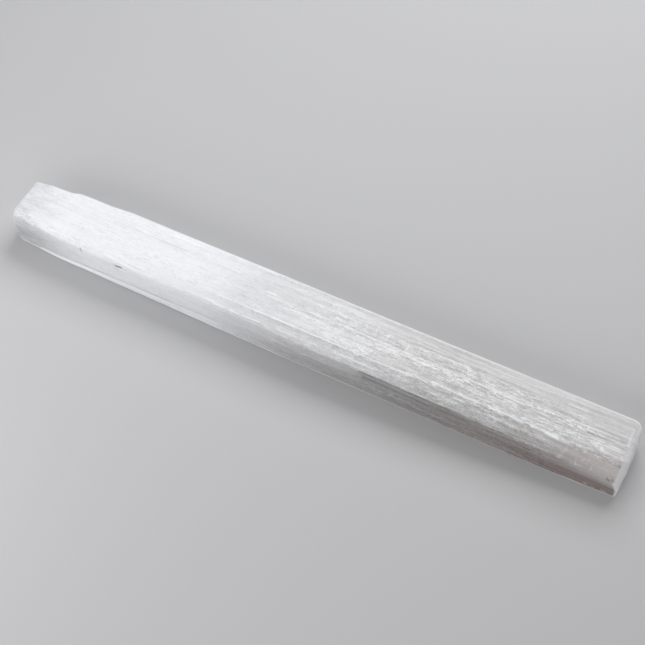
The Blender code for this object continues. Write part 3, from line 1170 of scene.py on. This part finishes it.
class CrystalFinish(Finish):
    """The blade's finish, put on in layers from the milky body to the last scratch."""

    def __init__(self):
        super().__init__("selenite")
        self.place = self.node("ShaderNodeTexCoord", {}, {}).outputs["Object"]
        self.frosted = self.mask("frosted")
        # The clear mask: the front's darker depth, partly painted shade.
        self.clear = self.mask("clear")
        self.texture = self.mask("texture")
        self.silk = self.grain(self.place, *SILK_GRAIN)
        self.slivers = self.grain(self.place, *SLIVER_GRAIN)
        self.bundles = self.grain(self.place, *BUNDLE_GRAIN)
        self.crumbs = self.grain(self.place, *CRUMB_GRAIN, CRUMB_TWIST)
        self.patches = self.between(self.grain(self.place, *PATCH_GRAIN), *PATCH_LEVELS)
        patchy = FROST_BETWEEN_PATCHES + (1 - FROST_BETWEEN_PATCHES) * self.patches
        self.frost = self.frosted * patchy
        self.faint = self.texture * (1 - FAINT_WHERE_CLEAR * self.clear)

    def body_colour_and_painted_light(self):
        """The body's colour: milk, whiter on the left partly as a painted sheen; the clearer depth
        in front, partly painted shade; the paler facet, partly painted light; and the back, whiter
        as painted light.
        """
        body = self.mixed(self.mask("greyed"), MILK_LEFT_AND_SHEEN, MILK_RIGHT)
        depth_and_shade = self.mixed(self.mask("warmed"), COOL_DEPTH_AND_SHADE, WARM_DEPTH_AND_SHADE)
        # The front darkened: partly clear depth, partly painted shade.
        body = self.mixed(self.clear * (DEPTH_AND_SHADE_SHARE + DEPTH_STREAKS * self.bundles), body, depth_and_shade)
        # The shoulder facet painted paler: partly painted light, partly its rose tint.
        facet = self.mixed(self.mask("rosy"), LIT_FACET_GREY, ROSE_GREY)
        body = self.mixed(self.mask("pale_and_lit") * FACET_SHARE, body, facet)
        # Painted light on the back half.
        return self.mixed(self.mask("back_painted_light") * BACK_PAINTED_LIGHT_SHARE, body, BRUISE_WHITE)

    def fibres(self, body):
        """Silky streaks along the fibres, light and dark, and the dark gaps between slivers."""
        texture = self.texture
        clouds = self.between(self.grain(self.place, *CLOUD_GRAIN), *CLOUD_LEVELS)
        bundles = self.between(self.bundles, *BUNDLE_LEVELS)
        dark = DARK_SILK_SHARE + DARK_SILK_CLEAR_SHARE * self.clear
        dark_silk = self.between(self.silk, *DARK_SILK_LEVELS) * dark * texture
        bright = BRIGHT_SILK_SHARE * self.faint
        bright_silk = self.between(self.silk, *BRIGHT_SILK_LEVELS) * bright
        gap_share = GAP_SHARE * texture + GAP_FROST_SHARE * self.frosted
        pit_share = PIT_LEAST + PIT_SHARE * texture + PIT_FROST_SHARE * self.frosted
        lip_share = LIP_SHADE_SHARE * texture * texture
        body = self.shaded(self.mask("arris_shade") * ARRIS_SHADE_SHARE, body, SHADE)
        # Painted shade on the left end.
        body = self.shaded(self.mask("left_end_shading") * LEFT_END_SHADE_SHARE, body, SHADE)
        body = self.shaded(clouds * (CLOUD_SHARE * texture), body, SHADE)
        body = self.shaded(bundles * (BUNDLE_SHARE * texture), body, SHADE)
        body = self.shaded(dark_silk, body, SHADE)
        body = self.mixed(bright_silk, body, BRUISE_WHITE)
        body = self.shaded(self.between(self.slivers, *GAP_LEVELS) * gap_share, body, SHADE)
        body = self.shaded(self.between(self.crumbs, *PIT_LEVELS) * pit_share, body, SHADE)
        return self.shaded(self.mask("lip_shade") * lip_share, body, SHADE)

    def frosting(self, body):
        """White frost: chips, splinters, fine curls of torn fibre and bright flecks."""
        curl = self.grain(self.place, *CURL_GRAIN) - MIDDLE_LEVEL
        flakes = self.grain(self.place, *FLAKE_GRAIN)
        chip_share = CHIP_SHARE * self.faint + CHIP_FROST_SHARE * self.frost
        splinter_share = SPLINTER_SHARE * self.faint + SPLINTER_FROST_SHARE * self.frost
        hair_share = HAIR_SHARE * self.faint * self.mask("hairy") + HAIR_FROST_SHARE * self.frosted
        fleck_share = FLECK_SHARE * self.faint + FLECK_FROST_SHARE * self.frosted
        layers = (
            self.frost * FROST_SHARE,
            self.between(self.crumbs, *CHIP_LEVELS) * chip_share,
            self.between(self.slivers, *SPLINTER_LEVELS) * splinter_share,
            self.between(curl * curl, *HAIR_LEVELS) * self.patches * hair_share,
            self.between(flakes, *FLECK_LEVELS) * fleck_share,
        )
        for layer in layers:
            body = self.mixed(layer, body, BRUISE_WHITE)
        return body

    def wear_and_painted_light(self, body):
        """Bruised lips; arrises white from wear and painted highlights; end faces paler, partly as
        painted light; grooves and pits painted dark as their shade; scratches, a painted highlight
        on the right end's top edge, and rust.
        """
        top = self.mask("top")
        front = self.mask("front")
        marks = (
            (BRUISE_WHITE, TOP_PLANE, top, TOP_SCRATCHES),
            (BRUISE_WHITE, FRONT_PLANE, front, FRONT_SCRATCHES),
            (CREVICE_SHADE_GREY, TOP_PLANE, top, TOP_PITS),
            (CREVICE_SHADE_GREY, FRONT_PLANE, front, FRONT_PITS),
            (RUST, TOP_PLANE, top, RUSTY_SPECKS),
        )
        body = self.mixed(self.mask("white_line"), body, BRUISE_WHITE)
        # Arrises whitened: partly chafed, partly painted rim highlights.
        body = self.mixed(self.mask("chafed_and_lit_rims") * WHITE_RIM_SHARE, body, BRUISE_WHITE)
        # End faces paler and bluer: partly the white of broken fibre ends, partly painted light.
        body = self.mixed(self.mask("end_face") * END_FACE_SHARE, body, ICE_WHITE)
        # Grooves painted dark as their shade.
        body = self.mixed(self.mask("groove_shade"), body, CREVICE_SHADE_GREY)
        for colour, plane, gate, rows in marks:
            body = self.scratched(body, colour, self.place, plane, gate, rows)
        return body

    def bumps(self):
        """The normal with the fine relief of silk, slivers and crumbs."""
        crumbs = (CRUMB_BUMP + CRUMB_FROST_BUMP * self.frosted) * self.crumbs
        height = (SILK_BUMP * self.silk + SLIVER_BUMP * self.slivers + crumbs) * self.texture
        sockets = {"Strength": BUMP_STRENGTH, "Distance": BUMP_HEIGHT, "Height": height}
        return self.node("ShaderNodeBump", {}, sockets).outputs[0]


def crystal_finish():
    """The selenite: milky and silky, so light wanders a little way in it."""
    finish = CrystalFinish()
    body = finish.body_colour_and_painted_light()
    body = finish.fibres(body)
    body = finish.frosting(body)
    body = finish.wear_and_painted_light(body)
    shader = finish.node(
        "ShaderNodeBsdfPrincipled",
        {"subsurface_method": "RANDOM_WALK"},
        {
            "Base Color": body,
            "Roughness": ROUGHNESS + FROST_ROUGHNESS * finish.frost + SILK_ROUGHNESS * finish.silk,
            "IOR": REFRACTION,
            "Subsurface Weight": MILKINESS,
            "Subsurface Radius": LIGHT_REACH_BY_COLOUR,
            "Subsurface Scale": LIGHT_REACH,
            "Normal": finish.bumps(),
        },
    )
    finish.node("ShaderNodeOutputMaterial", {}, {0: shader.outputs[0]})
    return finish.material


FLOOR_GREY = (0.54, 0.54, 0.55, 1)
FLOOR_ROUGHNESS = 0.8


def floor_finish():
    """Plain pale matt paint."""
    finish = Finish("studio_floor")
    shader = finish.node(
        "ShaderNodeBsdfPrincipled",
        {},
        {"Base Color": FLOOR_GREY, "Roughness": FLOOR_ROUGHNESS},
    )
    finish.node("ShaderNodeOutputMaterial", {}, {0: shader.outputs[0]})
    return finish.material


# ---------------------------------------------------------------- the studio

FLOOR_SIZE = 6.0
FLOOR_DROP = 0.05 * MM
ROOM_WHITE = (0.97, 0.98, 1.0, 1)
ROOM_STRENGTH = 0.06

# Softboxes: (place, point aimed at, width and height, watts), in metres.
SOFTBOXES = {
    "over_left": ((-0.22, 0.05, 0.42), (-0.09, 0, 0), (0.35, 0.35), 0.45),
    "front_middle": ((0, -0.50, 0.30), (0, 0, 0), (0.40, 0.35), 1.30),
    "back_high": ((0, 0.45, 0.45), (0, 0, 0), (0.50, 0.35), 3.00),
    "left_end": ((-0.20, -0.16, 0.10), (-0.08, 0, 0), (0.15, 0.12), 0.15),
    "right": ((0.55, 0, 0.20), (0.10, 0, 0), (0.30, 0.30), 0.50),
}

CAMERA_AZIMUTH = 25.921
CAMERA_ELEVATION = 60.0
CAMERA_LENS = 80.0
CAMERA_DISTANCE = 541.042 * MM
CAMERA_TARGET = (0.532 * MM, 7.701 * MM, 0)


def lay_floor():
    """The studio's floor, a hair under the blade."""
    half = FLOOR_SIZE / 2
    mesh = bpy.data.meshes.new("studio_floor")
    corners = [(-half, -half, 0), (half, -half, 0), (half, half, 0), (-half, half, 0)]
    mesh.from_pydata(corners, [], [(0, 1, 2, 3)])
    mesh.materials.append(floor_finish())
    floor = bpy.data.objects.new("studio_floor", mesh)
    floor.location.z = -FLOOR_DROP
    bpy.context.scene.collection.objects.link(floor)


def softbox(name, place, aim, size, watts):
    """A lamp behind a soft rectangular screen, aimed at a point."""
    data = bpy.data.lights.new(name, "AREA")
    data.shape = "RECTANGLE"
    data.size, data.size_y = size
    data.energy = watts
    light = bpy.data.objects.new(name, data)
    light.location = place
    light.rotation_mode = "QUATERNION"
    light.rotation_quaternion = (Vector(aim) - Vector(place)).to_track_quat("-Z", "Y")
    light.visible_camera = False
    bpy.context.scene.collection.objects.link(light)


def set_lights():
    """The faint light of the room and the softboxes."""
    world = bpy.data.worlds.new("studio")
    world.use_nodes = True
    background = world.node_tree.nodes["Background"]
    background.inputs["Color"].default_value = ROOM_WHITE
    background.inputs["Strength"].default_value = ROOM_STRENGTH
    bpy.context.scene.world = world
    for name, (place, aim, size, watts) in SOFTBOXES.items():
        softbox(name, place, aim, size, watts)


def set_camera():
    """The camera, turned round from square on and raised, level with the floor."""
    azimuth = math.radians(CAMERA_AZIMUTH)
    elevation = math.radians(CAMERA_ELEVATION)
    flat = math.cos(elevation)
    back = Vector((math.sin(azimuth) * flat, -math.cos(azimuth) * flat, math.sin(elevation)))
    right = Vector((math.cos(azimuth), math.sin(azimuth), 0))
    up = back.cross(right)
    data = bpy.data.cameras.new("camera")
    data.lens = CAMERA_LENS
    camera = bpy.data.objects.new("camera", data)
    turn = Matrix((right, up, back)).transposed().to_4x4()
    place = Vector(CAMERA_TARGET) + back * CAMERA_DISTANCE
    camera.matrix_world = Matrix.Translation(place) @ turn
    bpy.context.scene.collection.objects.link(camera)
    bpy.context.scene.camera = camera


clear_scene()
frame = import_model()
solid = frame["nodes"]["selenite_blade"]
skin = build_skin(solid, *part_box("selenite_blade"))
skin.data.materials.append(crystal_finish())
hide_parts("selenite_blade")
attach(skin, "root")
lay_floor()
set_lights()
set_camera()
bpy.context.scene.view_settings.view_transform = "Standard"
